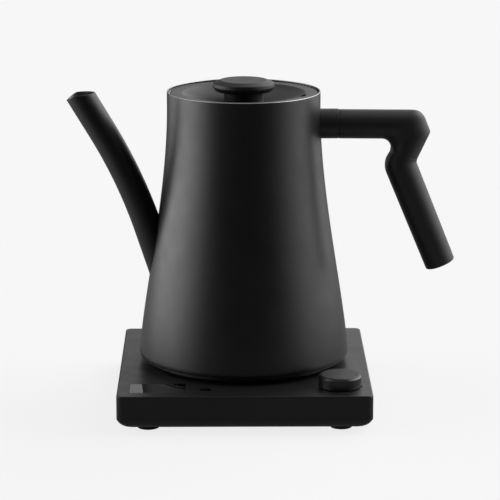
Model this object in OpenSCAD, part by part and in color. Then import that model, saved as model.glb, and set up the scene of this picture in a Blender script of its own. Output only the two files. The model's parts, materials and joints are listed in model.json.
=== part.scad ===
// Electric pour-over kettle on a square power base.
// Origin: centre of the bounding box at the table. +X points to the handle, -X to the spout,
// -Y to the front with the display and the dial, +Y to the rear with the cord outlet, +Z up.

/* [Base] */
// Width of the power base, left to right
base_w = 160; // [150:1:180]
// Depth of the power base, front to rear
base_d = 168; // [160:1:190]
// Height of the base top above the table
base_h = 24; // [24:0.5:28]
// Corner radius of the base in plan
base_corner_r = 4; // [3:0.5:8]
// Visible height of the rubber feet
foot_h = 2.4; // [2:0.1:3]
// Height of the bevelled lower tray
tray_h = 7.2; // [6:0.1:8]
// How far the tray's underside is set in by its bevel
tray_inset = 8; // [4:0.5:10]

/* [Controls] */
// Dial position from the base centre, left to right
dial_x = 60; // [55:0.5:62]
// Dial position from the base centre, front to rear
dial_y = -60.5; // [-66:0.5:-58]
// Outer radius of the dial
dial_r = 13.5; // [12:0.5:14]
// Height of the dial above the base top
dial_h = 8; // [7:0.5:10]
// Push travel of the dial
dial_travel = 0.8; // [0.3:0.1:0.8]
// Display window width
window_w = 35; // [30:1:40]
// Display window depth
window_d = 20; // [16:1:22]

/* [Kettle body] */
// Outer radius of the straight neck at the rim
neck_r = 49.2; // [46:0.2:52]
// Widest outer radius near the bottom
belly_r = 67.8; // [64:0.2:70]
// Height of the rim above the base top
rim_h = 177; // [170:1:185]
// Steel wall thickness
wall_t = 0.8; // [0.6:0.1:1]
// How far the kettle axis lies behind the base centre
kettle_y = 7.6; // [0:0.2:10]

/* [Spout] */
// Outer radius of the spout tube
spout_r = 9.1; // [8:0.1:10]
// Lean of the lower spout from vertical, degrees
spout_lean = 18.3; // [16:0.1:20]
// Lean of the upper spout from vertical, degrees
spout_tip_lean = 31; // [28:0.5:34]
// Radius of the spout's gentle bend
spout_bend_r = 320; // [300:5:340]
// Tilt of the mouth from horizontal, degrees
mouth_tilt = 5; // [2:1:12]
// Tilt of the trimmed pouring lip from horizontal, degrees
lip_tilt = 35; // [25:1:45]
// Length of the trimmed pouring lip
lip_len = 6.8; // [5:0.2:8]

/* [Handle] */
// Height of the arm's axis above the base top
arm_h = 155.4; // [150:0.2:158]
// How far the arm's axis drops towards the elbow
arm_drop = 0.25; // [0:0.05:1]
// Radius of the arm next to the body
arm_r = 9.4; // [9:0.1:10]
// Distance of the elbow's bend centre from the kettle axis
elbow_x = 106.3; // [100:0.5:110]
// Radius of the grip at its lower end
grip_r = 9.8; // [9:0.1:10]
// Radius of the grip at the kink
kink_r = 10.3; // [10:0.1:11]
// Lean of the short segment that comes back under the elbow, degrees
back_lean = 21.7; // [18:0.2:26]
// Lean of the grip from vertical, degrees
grip_lean = 22.3; // [18:0.2:26]
// Length of the grip below the kink
grip_len = 69.4; // [60:0.5:76]

/* [Lid] */
// Radius of the lid flange
lid_r = 47.2; // [46:0.1:47.6]
// Depth of the dished lid below its flange
dish_depth = 6.5; // [5:0.5:8]
// Widest radius of the knob
knob_r = 19.9; // [18:0.1:21]
// Height of the knob top above the rim
knob_rise = 7; // [6:0.2:8]

/* [Hidden] */
$fn = 96;

matt_black = "#1c1c1d";
satin_black = "#29292a";
rubber_black = "#101011";
steel = "silver";
brass = "#b5924c";
circuit_green = "#1f5a3a";

eps = 0.05;
// Bars reach this far into the bends they meet, and are this much thinner there
lap = 0.3;
step = 0.03;
seam_z = foot_h + tray_h;
cover_t = 2.5;
ceiling_z = base_h - cover_t;
tray_floor_z = foot_h + 2.2;
rest_gap = 0.3;

// Spout centreline in the kettle's own X-Z plane, X from the kettle axis, Z above the base top
spout_root = [-49.36, 50];
spout_straight = 40;
spout_top_len = 27.3;
spout_bore = spout_r - wall_t;
spout_bend_start = spout_root + spout_straight * [-sin(spout_lean), cos(spout_lean)];
spout_bend_c = spout_bend_start - spout_bend_r * [cos(spout_lean), sin(spout_lean)];
spout_bend_end = spout_bend_c + spout_bend_r * [cos(spout_tip_lean), sin(spout_tip_lean)];
spout_tip = spout_bend_end + spout_top_len * [-sin(spout_tip_lean), cos(spout_tip_lean)];
lip = spout_tip - spout_r * [cos(spout_tip_lean), sin(spout_tip_lean)];
mouth_edge = lip + lip_len * [cos(lip_tilt), sin(lip_tilt)];
spout_reach = -lip[0];

// Handle centreline in the same plane
arm_start = 61;
arm_end_r = 9.35;
elbow_r = 9.6;
arm_end = [elbow_x, arm_h - arm_drop];
bend_r = 3.5;
grip_chamfer = 1;
elbow_c = arm_end - [0, bend_r];
back_start = elbow_c + bend_r * [cos(back_lean), -sin(back_lean)];
back_len = 22;
back_end = back_start - back_len * [sin(back_lean), cos(back_lean)];
kink_c = back_end + bend_r * [cos(back_lean), -sin(back_lean)];
grip_start = kink_c - bend_r * [cos(grip_lean), sin(grip_lean)];
grip_dir = [sin(grip_lean), -cos(grip_lean)];
grip_end = grip_start + grip_len * grip_dir;
handle_reach = grip_end[0] + grip_r * cos(grip_lean) - grip_chamfer * sin(grip_lean);

// The bounding box is centred on the origin from spout tip to handle end
kettle_x = (spout_reach - handle_reach) / 2;

// Kettle heights above the table
shell_bottom_z = base_h + 4;
rim_z = base_h + rim_h;
belly_z = base_h + 8;
shoulder_z = base_h + 165;
floor_z = base_h + 24;
ledge_z = rim_z - 2.1;
flange_z = rim_z - 1;
plate_t = 0.8;
dish_z = flange_z - dish_depth;
dish_r = 40;
skirt_z = rim_z - 16;
stem_r = 12.6;
stem_top_z = rim_z - 0.6;
knob_z = rim_z + knob_rise;
screw_circle_r = 55;
probe_r = 2.9;
probe_pos = [-51, -16];
shaft_r = 3;
running_gap = 0.05;
encoder_z = 13.6;
plunger_z = encoder_z + 2.2;
socket_r = 16;
socket_top_z = base_h + 9;
bush_z = 15.5;
tray_screw_spots = [[-65, -36], [65, -36], [-65, 50], [65, 50]];
board_screw_spots = [[-24, -44], [38, -44], [38, -71]];
foot_x = 60.5;
foot_y = 68.5;
window_pos = [-54.7, -64.6];
lens_pos = [-24.5, -68];

function bezier(p0, p1, p2, p3, t) =
    pow(1 - t, 3) * p0 + 3 * pow(1 - t, 2) * t * p1 + 3 * (1 - t) * t * t * p2 + t * t * t * p3;

// Outer wall of the body from the shoulder down to the belly, moved in by inset
function flank(inset, steps = 24) = [for (i = [0 : steps])
    bezier([neck_r, shoulder_z], [neck_r + 0.3, base_h + 110], [belly_r - 2.8, base_h + 45],
        [belly_r, belly_z], i / steps) - [inset, 0]];

// Body outline as half a section, closed on the axis
function body_section(inset, low_z, high_z) = concat([[0, high_z], [neck_r - inset, high_z]],
    flank(inset), [[belly_r - 0.3 - inset, belly_z - 2.4], [belly_r - 1 - inset, low_z], [0, low_z]]);

// Top face of the dished lid at radius r
function dish_top(r) = dish_z + dish_depth * pow(r / dish_r, 2.4);

module on_base() {
    translate([kettle_x, 0, 0]) children();
}

module behind_centre() {
    translate([0, kettle_y, 0]) children();
}

module on_kettle_axis() {
    translate([kettle_x, kettle_y, 0]) children();
}

module above_base() {
    translate([kettle_x, kettle_y, base_h]) children();
}

module tube(r_out, r_in, z0, z1) {
    translate([0, 0, z0]) difference() {
        cylinder(r = r_out, h = z1 - z0);
        translate([0, 0, -1]) cylinder(r = r_in, h = z1 - z0 + 2);
    }
}

module disc(r, z0, z1) {
    translate([0, 0, z0]) cylinder(r = r, h = z1 - z0);
}

module block(centre, size, z0, z1) {
    translate([centre[0] - size[0] / 2, centre[1] - size[1] / 2, z0])
        cube([size[0], size[1], z1 - z0]);
}

// Rounded rectangular slab; each layer is [width, depth, height of its lower edge]
module slab(layers, r) {
    hull() for (p = layers) for (sx = [-1, 1]) for (sy = [-1, 1])
        translate([sx * (p[0] / 2 - r), sy * (p[1] / 2 - r), p[2]])
            cylinder(r = r, h = eps, $fn = 32);
}

// Round bar in the X-Z plane from a to b, carried on past a and b by lap_a and lap_b
module bar(a, b, ra, rb, lap_a = 0, lap_b = 0) {
    d = b - a;
    translate([a[0], 0, a[1]]) rotate([0, atan2(d[0], d[1]), 0]) translate([0, 0, -lap_a])
        cylinder(r1 = ra, r2 = rb, h = norm(d) + lap_a + lap_b);
}

// Round bend in the X-Z plane about centre c, from angle a0 to a1
module bend(c, sweep_r, r, a0, a1) {
    translate([c[0], 0, c[1]]) rotate([90, 0, 0]) rotate([0, 0, a0])
        rotate_extrude(angle = a1 - a0) intersection() {
            translate([sweep_r, 0]) circle(r = r);
            translate([0, -r - 1]) square([sweep_r + r + 1, 2 * r + 2]);
        }
}

module pan_screw(head_r, head_t, shank_r, length) {
    translate([0, 0, -head_t]) cylinder(r = head_r, h = head_t);
    translate([0, 0, -eps]) cylinder(r = shank_r, h = length + eps);
}

module kettle_solid(inset, low_z, high_z) {
    rotate_extrude() polygon(body_section(inset, low_z, high_z));
}

// ---- Power base ----

module base_cover() {
    color(satin_black) on_base() difference() {
        union() {
            difference() {
                slab([[base_w, base_d, seam_z], [base_w, base_d, base_h - 0.8],
                    [base_w - 1.6, base_d - 1.6, base_h - eps]], base_corner_r);
                slab([[base_w - 5, base_d - 5, seam_z - 1],
                    [base_w - 5, base_d - 5, ceiling_z - eps]], 2);
            }
            for (p = tray_screw_spots) translate(p) disc(4, seam_z, ceiling_z + eps);
            for (p = board_screw_spots) translate(p) disc(3, encoder_z, ceiling_z + eps);
            behind_centre() tube(27, 22, ceiling_z - 2, ceiling_z + eps);
        }
        behind_centre() disc(socket_r + 1.4, seam_z, base_h + 1);
        behind_centre() for (a = [30, 150, 270]) rotate(a) translate([24.5, 0])
            disc(1.15, ceiling_z - 3, ceiling_z + 1.2);
        for (p = tray_screw_spots) translate(p) disc(1.3, seam_z - 1, seam_z + 9);
        for (p = board_screw_spots) translate(p) disc(1.1, encoder_z - 1, encoder_z + 6);
        block(window_pos, [window_w - 4, window_d - 4], ceiling_z - 1, base_h + 1);
        block(window_pos, [window_w + 0.2, window_d + 0.2], base_h - 1.5, base_h + 1);
        block(lens_pos, [7.2, 5.2], ceiling_z - 1, base_h + 1);
        translate([dial_x, dial_y]) disc(dial_r + 0.7, base_h - 1.2, base_h + 1);
        translate([dial_x, dial_y]) disc(4.7, ceiling_z - 1, base_h);
        translate([0, base_d / 2 - 5, bush_z]) rotate([-90, 0, 0]) cylinder(r = 5, h = 10);
    }
}

module base_tray() {
    low = [base_w, base_d] - 2 * tray_inset * [1, 1];
    knuckle = [base_w, base_d] - 0.56 * tray_inset * [1, 1];
    knuckle_z = foot_h + 0.42 * tray_h;
    color(matt_black) on_base() difference() {
        union() {
            difference() {
                slab([[low[0], low[1], foot_h], [knuckle[0], knuckle[1], knuckle_z],
                    [base_w, base_d, seam_z - eps]], base_corner_r);
                slab([[low[0] - 3, low[1] - 3, tray_floor_z],
                    [base_w - 8, base_d - 8, seam_z]], 2);
            }
            for (p = tray_screw_spots) translate(p) disc(4, foot_h, seam_z);
        }
        for (p = tray_screw_spots) translate(p) disc(1.75, foot_h - 1, seam_z + 1);
        for (p = tray_screw_spots) translate(p) disc(3.2, foot_h - 1, foot_h + 3);
        for (sx = [-1, 1]) for (sy = [-1, 1]) translate([sx * foot_x, sy * foot_y])
            disc(7.1, foot_h - 1, foot_h + 1);
    }
}

module foot(x, y) {
    color(rubber_black) on_base() translate([x, y]) {
        cylinder(r1 = 6.7, r2 = 7, h = 0.3);
        disc(7, 0.3, foot_h + 0.95);
    }
}

module foot_front_left() { foot(-foot_x, -foot_y); }
module foot_front_right() { foot(foot_x, -foot_y); }
module foot_rear_left() { foot(-foot_x, foot_y); }
module foot_rear_right() { foot(foot_x, foot_y); }

module tray_screws() {
    color(steel) on_base() for (p = tray_screw_spots) translate([p[0], p[1], foot_h + 2.95])
        pan_screw(2.8, 1.8, 1.25, 10);
}

module power_socket() {
    color(matt_black) on_kettle_axis() difference() {
        union() {
            disc(socket_r, 12, socket_top_z);
            disc(27, ceiling_z - 4, ceiling_z - 2.05);
        }
        disc(3.4, base_h - 0.5, socket_top_z + 1);
        tube(10.5, 6.5, base_h - 0.5, socket_top_z + 1);
        for (a = [90, 210, 330]) rotate(a) block([7.2, 0], [1.2, 3.2], 11, base_h);
        for (a = [30, 150, 270]) rotate(a) translate([24.5, 0]) disc(1.3, 12, ceiling_z);
    }
}

module socket_contacts() {
    color(brass) on_kettle_axis() for (a = [90, 210, 330]) rotate(a)
        block([7.2, 0], [0.8, 2.8], 9, socket_top_z - 2);
}

module socket_screws() {
    color(steel) on_kettle_axis() for (a = [30, 150, 270]) rotate(a)
        translate([24.5, 0, ceiling_z - 4.05]) pan_screw(2.2, 1.5, 1.1, 5);
}

module socket_gasket() {
    color(rubber_black) on_kettle_axis() tube(socket_r + 1.35, socket_r + 0.05, ceiling_z, base_h + 0.1);
}

module control_board() {
    color(circuit_green) on_base() difference() {
        translate([-30, -76, encoder_z - 1.65]) cube([98, 35.5, 1.6]);
        for (p = board_screw_spots) translate(p) disc(1.4, 0, encoder_z + 1);
    }
}

module board_screws() {
    color(steel) on_base() for (p = board_screw_spots) translate([p[0], p[1], encoder_z - 1.7])
        pan_screw(2.2, 1.4, 1.05, 7);
}

module mains_relay() {
    color("#2c4f86") on_base() block([10, -56], [19, 15.5], encoder_z, encoder_z + 7.4);
}

module terminal_block() {
    color("#d8d5c8") on_base() difference() {
        block([0, 62], [26, 12], tray_floor_z + 0.05, tray_floor_z + 9);
        for (i = [-1, 0, 1]) translate([8 * i, 62]) disc(1.6, tray_floor_z + 3, tray_floor_z + 10);
    }
}

module display_window() {
    color("#08080a") on_base() block(window_pos, [window_w, window_d], base_h - 1.45, base_h);
}

module display_module() {
    color("#303a3c") on_base() {
        block(window_pos, [window_w - 5, window_d - 5], ceiling_z - 0.2, base_h - 1.55);
        block(window_pos, [window_w + 3, window_d + 4], ceiling_z - 1.6, ceiling_z - 0.1);
    }
}

module status_lens() {
    color("#08080a") on_base() block(lens_pos, [7, 5], ceiling_z + 0.2, base_h);
}

module encoder_housing() {
    color(steel) on_base() translate([dial_x, dial_y]) difference() {
        union() {
            block([0, 0], [12.4, 12.4], encoder_z, ceiling_z - 0.6);
            disc(4.5, encoder_z + 1, base_h - 1.3);
        }
        disc(shaft_r + running_gap, plunger_z - dial_travel - 0.5, base_h);
    }
}

module cord_bush() {
    color(rubber_black) on_base() translate([0, base_d / 2, bush_z]) rotate([90, 0, 0]) difference() {
        union() {
            cylinder(r = 4.95, h = cover_t + 1);
            translate([0, 0, cover_t + 0.05]) cylinder(r = 5.8, h = 2);
        }
        translate([0, 0, -1]) cylinder(r = 3.6, h = 8);
    }
}

// ---- Dial ----

module switch_plunger() {
    color("ivory") on_base() translate([dial_x, dial_y])
        disc(2.5, plunger_z, plunger_z + 1.1);
}

module dial_shaft() {
    color(steel) on_base() translate([dial_x, dial_y])
        disc(shaft_r, plunger_z + 1.2, base_h + dial_h - 3);
}

module dial_ring() {
    roof_z = base_h + dial_h - 2.6;
    color(matt_black) on_base() translate([dial_x, dial_y]) difference() {
        union() {
            tube(dial_r, dial_r - 1.9, base_h, base_h + dial_h - 0.6);
            disc(dial_r - 1, roof_z, roof_z + 1.2);
            disc(5, base_h + 1, roof_z + eps);
        }
        disc(shaft_r + 0.02, base_h, base_h + dial_h - 2.95);
        disc(dial_r - 0.9, base_h + dial_h - 1.4, base_h + dial_h);
    }
}

module dial_cap() {
    cap_z = base_h + dial_h;
    color(matt_black) on_base() translate([dial_x, dial_y]) rotate_extrude()
        polygon([[0, cap_z - 1.35], [dial_r - 0.95, cap_z - 1.35], [dial_r - 0.95, cap_z - 0.5],
            [dial_r - 1.5, cap_z], [0, cap_z]]);
}

// ---- Kettle ----

module kettle_shell() {
    color(matt_black) on_kettle_axis() difference() {
        rotate_extrude() polygon(concat(
            [[neck_r - wall_t, rim_z], [neck_r - 0.15, rim_z], [neck_r, rim_z - 0.2]],
            flank(0),
            [[belly_r + 0.1, belly_z - 1.2], [belly_r - 0.3, belly_z - 2.9],
            [belly_r - 1, shell_bottom_z], [belly_r - 1 - wall_t, shell_bottom_z],
            [belly_r - 0.3 - wall_t, belly_z - 2.9]],
            [for (i = [24 : -1 : 0]) flank(wall_t)[i]]));
        translate([0, 0, base_h]) bar(spout_root, spout_bend_start + [-12, 36], spout_bore, spout_bore);
    }
}

module neck_ring() {
    fit_r = neck_r - wall_t - 0.04;
    color(steel) on_kettle_axis() rotate_extrude() polygon([[fit_r, rim_z - 11],
        [fit_r, ledge_z], [45, ledge_z], [45, ledge_z - plate_t], [fit_r - plate_t, ledge_z - plate_t],
        [fit_r - plate_t, rim_z - 11]]);
}

module kettle_floor() {
    edge_r = 65.1;
    color(steel) on_kettle_axis() difference() {
        union() {
            rotate_extrude() polygon([[0, floor_z - 1], [edge_r - plate_t, floor_z - 1],
                [edge_r - plate_t, floor_z - 6], [edge_r, floor_z - 6], [edge_r, floor_z],
                [0, floor_z]]);
            for (a = [30, 150, 270]) rotate(a) translate([screw_circle_r, 0])
                disc(3, floor_z - 14, floor_z - 1 + eps);
        }
        for (a = [30, 150, 270]) rotate(a) translate([screw_circle_r, 0])
            disc(1.3, floor_z - 15, floor_z - 4);
        translate(probe_pos) disc(4.1, floor_z - 3, floor_z + 1);
    }
}

module heat_plate() {
    color("#b8b8bc") on_kettle_axis() disc(44, floor_z - 6, floor_z - 1.05);
}

module heating_element() {
    color("#7d7a76") on_kettle_axis() translate([0, 0, floor_z - 9.6]) rotate([0, 0, 15])
        rotate_extrude(angle = 330) translate([36, 0]) circle(r = 3.4);
}

module element_terminals() {
    color(brass) on_kettle_axis() for (a = [11, -11]) rotate(a)
        block([36, 0], [1, 4], floor_z - 17, floor_z - 9);
}

module thermal_cutouts() {
    color(steel) on_kettle_axis() for (a = [100, 260]) rotate(a) translate([26, 0])
        disc(5.5, floor_z - 12, floor_z - 6.1);
}

module temperature_probe() {
    color(steel) on_kettle_axis() translate(probe_pos) rotate_extrude() polygon([[0, floor_z - 12],
        [probe_r, floor_z - 12], [probe_r, floor_z + 12], [probe_r - 0.9, floor_z + 13.4],
        [0, floor_z + 14]]);
}

module probe_seal() {
    color("#c9c4b8") on_kettle_axis() translate(probe_pos) rotate_extrude() polygon([
        [probe_r + 0.02, floor_z - 2.4], [6.4, floor_z - 2.4], [6.4, floor_z - 1.05],
        [4.05, floor_z - 1.05], [4.05, floor_z + 0.05], [6.4, floor_z + 0.05],
        [6.4, floor_z + 1.2], [probe_r + 0.02, floor_z + 1.2]]);
}

module bottom_cover() {
    low_z = base_h + rest_gap;
    color(rubber_black) on_kettle_axis() difference() {
        rotate_extrude() polygon([[19.3, low_z], [61, low_z], [62, low_z + 1],
            [62, base_h + 4.5], [65.7, base_h + 4.5], [65.7, base_h + 6], [60.5, base_h + 6],
            [60.5, low_z + 2.2], [19.3, low_z + 2.2]]);
        for (a = [30, 150, 270]) rotate(a) translate([screw_circle_r, 0]) {
            disc(1.5, base_h - 1, base_h + 4);
            disc(2.9, base_h - 1, base_h + 1.5);
        }
    }
}

module cover_screws() {
    color(steel) on_kettle_axis() for (a = [30, 150, 270]) rotate(a)
        translate([screw_circle_r, 0, base_h + 1.45]) pan_screw(2.6, 1, 1.2, 16);
}

module kettle_connector() {
    low_z = base_h + 0.6;
    color(matt_black) on_kettle_axis() difference() {
        disc(19, low_z, floor_z - 10);
        disc(socket_r + 0.6, low_z - 1, socket_top_z + 0.8);
        disc(2.42, socket_top_z, floor_z - 9);
        tube(9.12, 8.28, socket_top_z, floor_z - 11.5);
    }
}

module connector_contacts() {
    color(brass) on_kettle_axis() {
        disc(2.4, base_h + 1, floor_z - 8);
        tube(9.1, 8.3, base_h + 1, floor_z - 12);
    }
}

// Solid of radius r along the spout's centreline, longer by over_root and over_tip at its ends
module spout_run(r, over_root, over_tip) {
    bar(spout_root, spout_bend_start, r - step, r - step, over_root, lap);
    bend(spout_bend_c, spout_bend_r, r, spout_lean, spout_tip_lean);
    bar(spout_bend_end, spout_tip, r - step, r - step, lap, over_tip);
}

module spout_tube() {
    cut = 60;
    color(matt_black) above_base() difference() {
        spout_run(spout_r, 0, 8);
        spout_run(spout_bore, 2, 12);
        for (tilt = [mouth_tilt, lip_tilt]) translate([mouth_edge[0], 0, mouth_edge[1]])
            rotate([0, -tilt, 0]) translate([-cut / 2, -cut / 2, 0]) cube(cut);
        translate([0, 0, -base_h]) kettle_solid(0, base_h + 8, rim_z);
    }
}

// ---- Handle ----

module handle_bracket() {
    color(matt_black) above_base() difference() {
        bar([42, arm_h + 0.2], [arm_start - 0.6, arm_h + 0.2], 9.6, 9.6);
        bar([51.5, arm_h], [arm_start, arm_h], 5.02, 5.02);
        translate([0, 0, -base_h]) kettle_solid(0, base_h + 8, rim_z);
    }
}

module handle_gasket() {
    color(satin_black) above_base() difference() {
        bar([arm_start - 0.58, arm_h + 0.2], [arm_start - 0.08, arm_h + 0.2], 9.1, 9.1);
        bar([arm_start - 2, arm_h], [arm_start + 2, arm_h], 5.02, 5.02);
    }
}

module handle_core() {
    color(steel) above_base() difference() {
        bar([51.6, arm_h], [98, arm_h], 5, 5);
        bar([80, arm_h - 12], [80, arm_h + 3], 1.6, 1.6);
    }
}

module handle_grip() {
    color(matt_black) above_base() difference() {
        union() {
            bar([arm_start, arm_h], arm_end, arm_r, arm_end_r, 0, lap);
            bend(elbow_c, bend_r, elbow_r, -back_lean, 90);
            bar(back_start, back_end, elbow_r - step, kink_r - step, lap, lap);
            bend(kink_c, bend_r, kink_r, 180 - back_lean, 180 + grip_lean);
            bar(grip_start, grip_end, kink_r - step, grip_r, lap, -grip_chamfer);
            bar(grip_end - grip_chamfer * grip_dir, grip_end, grip_r - step,
                grip_r - grip_chamfer, lap);
        }
        bar([arm_start - 1, arm_h], [98.4, arm_h], 5.02, 5.02);
        bar([80, arm_h - 12], [80, arm_h], 1.8, 1.8);
        bar([80, arm_h - 12], [80, arm_h - 6.6], 3, 3);
        bar(grip_end - 54 * grip_dir, grip_end + grip_dir, 6, 6);
        bar(grip_end - 2.5 * grip_dir, grip_end + grip_dir, 7.4, 7.4);
    }
}

module handle_screw() {
    color(steel) above_base() {
        bar([80, arm_h - 8.2], [80, arm_h - 6.65], 2.8, 2.8);
        bar([80, arm_h - 6.7], [80, arm_h + 2.6], 1.55, 1.55);
    }
}

module handle_weight() {
    color(steel) above_base() bar(grip_end - 52 * grip_dir, grip_end - 2.6 * grip_dir, 5.95, 5.95);
}

module handle_end_cap() {
    color(matt_black) above_base() bar(grip_end - 2.45 * grip_dir, grip_end, 7.35, 7.35);
}

// ---- Lid ----

module vent_slot(low_z) {
    rotate(-19) translate([39.5, 0]) for (s = [-3.2 : 1.6 : 3.2]) translate([0, s, 0])
        disc(1.5, low_z, rim_z + 1);
}

module lid_dish() {
    steps = 12;
    radii = [for (i = [0 : steps]) 4.4 + (dish_r - 4.4) * i / steps];
    color(matt_black) on_kettle_axis() difference() {
        rotate_extrude() polygon(concat(
            [for (r = radii) [r, dish_top(r)]],
            [[lid_r, flange_z], [lid_r, flange_z - plate_t]],
            [for (i = [steps : -1 : 0]) [radii[i], dish_top(radii[i]) - plate_t]]));
        vent_slot(skirt_z);
    }
}

module lid_skirt() {
    color(rubber_black) on_kettle_axis() difference() {
        rotate_extrude() polygon([[2.3, skirt_z], [44.2, skirt_z], [44.2, skirt_z + 2],
            [43.4, skirt_z + 2], [43.4, skirt_z + 5], [44.2, skirt_z + 5],
            [44.2, flange_z - plate_t - 0.1], [42.4, flange_z - plate_t - 0.1],
            [42.4, skirt_z + 1.5], [6, skirt_z + 1.5], [6, dish_z - plate_t - 0.1],
            [2.3, dish_z - plate_t - 0.1]]);
        vent_slot(skirt_z - 1);
    }
}

module lid_seal() {
    color("#8f8c86") on_kettle_axis() tube(44.7, 43.42, skirt_z + 2.1, skirt_z + 4.9);
}

module knob_stem() {
    low_z = dish_top(stem_r) + 0.05;
    color(rubber_black) on_kettle_axis() difference() {
        union() {
            disc(stem_r, low_z, stem_top_z);
            disc(4.2, dish_z - plate_t, low_z + eps);
        }
        disc(2.3, dish_z - 2, stem_top_z + 1);
    }
}

module lid_knob() {
    under_z = stem_top_z + 0.02;
    color(matt_black) on_kettle_axis() difference() {
        rotate_extrude() polygon([[0, under_z], [stem_r + 0.4, under_z], [knob_r - 3.7, knob_z - 7.1],
            [knob_r - 1.4, knob_z - 5.8], [knob_r - 0.3, knob_z - 4.2], [knob_r, knob_z - 3.1],
            [knob_r - 0.3, knob_z - 2.1], [knob_r - 1.3, knob_z - 1.2], [14.6, knob_z], [0, knob_z]]);
        disc(1.95, under_z - 1, knob_z - 2);
    }
}

module lid_washer() {
    color(steel) on_kettle_axis() tube(5.5, 2.2, skirt_z - 1.05, skirt_z - 0.05);
}

module lid_screw() {
    color(steel) on_kettle_axis() translate([0, 0, skirt_z - 1.1])
        pan_screw(3.8, 2.2, 1.9, knob_z - skirt_z - 1.5);
}

base_cover();
base_tray();
foot_front_left();
foot_front_right();
foot_rear_left();
foot_rear_right();
tray_screws();
power_socket();
socket_contacts();
socket_screws();
socket_gasket();
control_board();
board_screws();
mains_relay();
terminal_block();
display_window();
display_module();
status_lens();
encoder_housing();
cord_bush();
switch_plunger();
dial_shaft();
dial_ring();
dial_cap();
kettle_shell();
neck_ring();
kettle_floor();
heat_plate();
heating_element();
element_terminals();
thermal_cutouts();
temperature_probe();
probe_seal();
bottom_cover();
cover_screws();
kettle_connector();
connector_contacts();
spout_tube();
handle_bracket();
handle_gasket();
handle_core();
handle_grip();
handle_screw();
handle_weight();
handle_end_cap();
lid_dish();
lid_skirt();
lid_seal();
knob_stem();
lid_knob();
lid_washer();
lid_screw();
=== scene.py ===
"""Looks of the electric pour-over kettle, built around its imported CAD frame.

Lengths are in metres. Heights called h are above the top of the power base.
"""

import json
import math

import bmesh
import bpy
from mathutils import Matrix, Vector


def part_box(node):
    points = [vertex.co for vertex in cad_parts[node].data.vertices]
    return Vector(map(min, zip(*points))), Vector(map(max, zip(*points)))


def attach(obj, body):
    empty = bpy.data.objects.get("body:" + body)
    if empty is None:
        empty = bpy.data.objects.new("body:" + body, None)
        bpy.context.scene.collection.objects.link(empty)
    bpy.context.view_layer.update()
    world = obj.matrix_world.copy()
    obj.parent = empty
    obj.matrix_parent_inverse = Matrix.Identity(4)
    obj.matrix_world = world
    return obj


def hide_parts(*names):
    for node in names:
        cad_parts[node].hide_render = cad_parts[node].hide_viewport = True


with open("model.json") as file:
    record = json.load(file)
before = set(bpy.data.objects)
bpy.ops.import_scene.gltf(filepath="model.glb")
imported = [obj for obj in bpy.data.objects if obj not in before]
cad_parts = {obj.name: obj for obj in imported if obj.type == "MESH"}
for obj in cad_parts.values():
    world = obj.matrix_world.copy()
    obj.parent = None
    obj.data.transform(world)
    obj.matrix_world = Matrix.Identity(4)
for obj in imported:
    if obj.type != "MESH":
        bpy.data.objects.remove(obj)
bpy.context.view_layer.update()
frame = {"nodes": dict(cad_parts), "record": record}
nodes = frame["nodes"]
record = frame["record"]

MM = 0.001
POLE = 1e-8  # a ring of the lathe below this radius becomes one point


# ---------------------------------------------------------------- places taken from the frame

def centre_of(node):
    """Middle of a CAD node's box."""
    low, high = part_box(node)
    return (low + high) / 2


base_low, base_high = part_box("base_cover")
tray_low, tray_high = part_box("base_tray")
base_top = base_high.z
base_w, base_d = base_high.x - base_low.x, base_high.y - base_low.y
base_mid = centre_of("base_cover")
kettle_axis = centre_of("neck_ring")
shell_low, shell_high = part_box("kettle_shell")
rim_z = shell_high.z
lid_low, lid_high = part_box("lid_dish")
flange_z = lid_high.z


# ---------------------------------------------------------------- mesh helpers

def add_object(name, verts, faces):
    mesh = bpy.data.meshes.new(name)
    mesh.from_pydata([tuple(v) for v in verts], [], faces)
    mesh.update()
    obj = bpy.data.objects.new(name, mesh)
    bpy.context.scene.collection.objects.link(obj)
    return obj


def rounded(corners, steps=5, closed=True):
    """Points of an outline whose corners (x, y, radius) are turned into arcs."""
    points = []
    last = len(corners) - 1
    for i, (x, y, radius) in enumerate(corners):
        corner = Vector((x, y))
        if radius == 0 or (not closed and i in (0, last)):
            points.append((x, y))
            continue
        before = (Vector(corners[i - 1][:2]) - corner).normalized()
        after = (Vector(corners[(i + 1) % len(corners)][:2]) - corner).normalized()
        half = before.angle(after) / 2
        centre = corner + (before + after).normalized() * radius / math.sin(half)
        start = corner + before * radius / math.tan(half) - centre
        end = corner + after * radius / math.tan(half) - centre
        turn = math.atan2(start.cross(end), start.dot(end))
        for k in range(steps + 1):
            a = turn * k / steps
            points.append((centre.x + start.x * math.cos(a) - start.y * math.sin(a),
                           centre.y + start.x * math.sin(a) + start.y * math.cos(a)))
    return points


def join_rings(rings, closed_path):
    """Faces between neighbouring rings of vertex numbers. A ring of one vertex is a pole."""
    faces = []
    pairs = list(zip(rings, rings[1:]))
    if closed_path:
        pairs.append((rings[-1], rings[0]))
    for a, b in pairs:
        n = max(len(a), len(b))
        if n == 1:
            continue
        for k in range(n):
            m = (k + 1) % n
            if len(a) == 1:
                faces.append((a[0], b[m], b[k]))
            elif len(b) == 1:
                faces.append((a[k], a[m], b[0]))
            else:
                faces.append((a[k], a[m], b[m], b[k]))
    return faces


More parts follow.
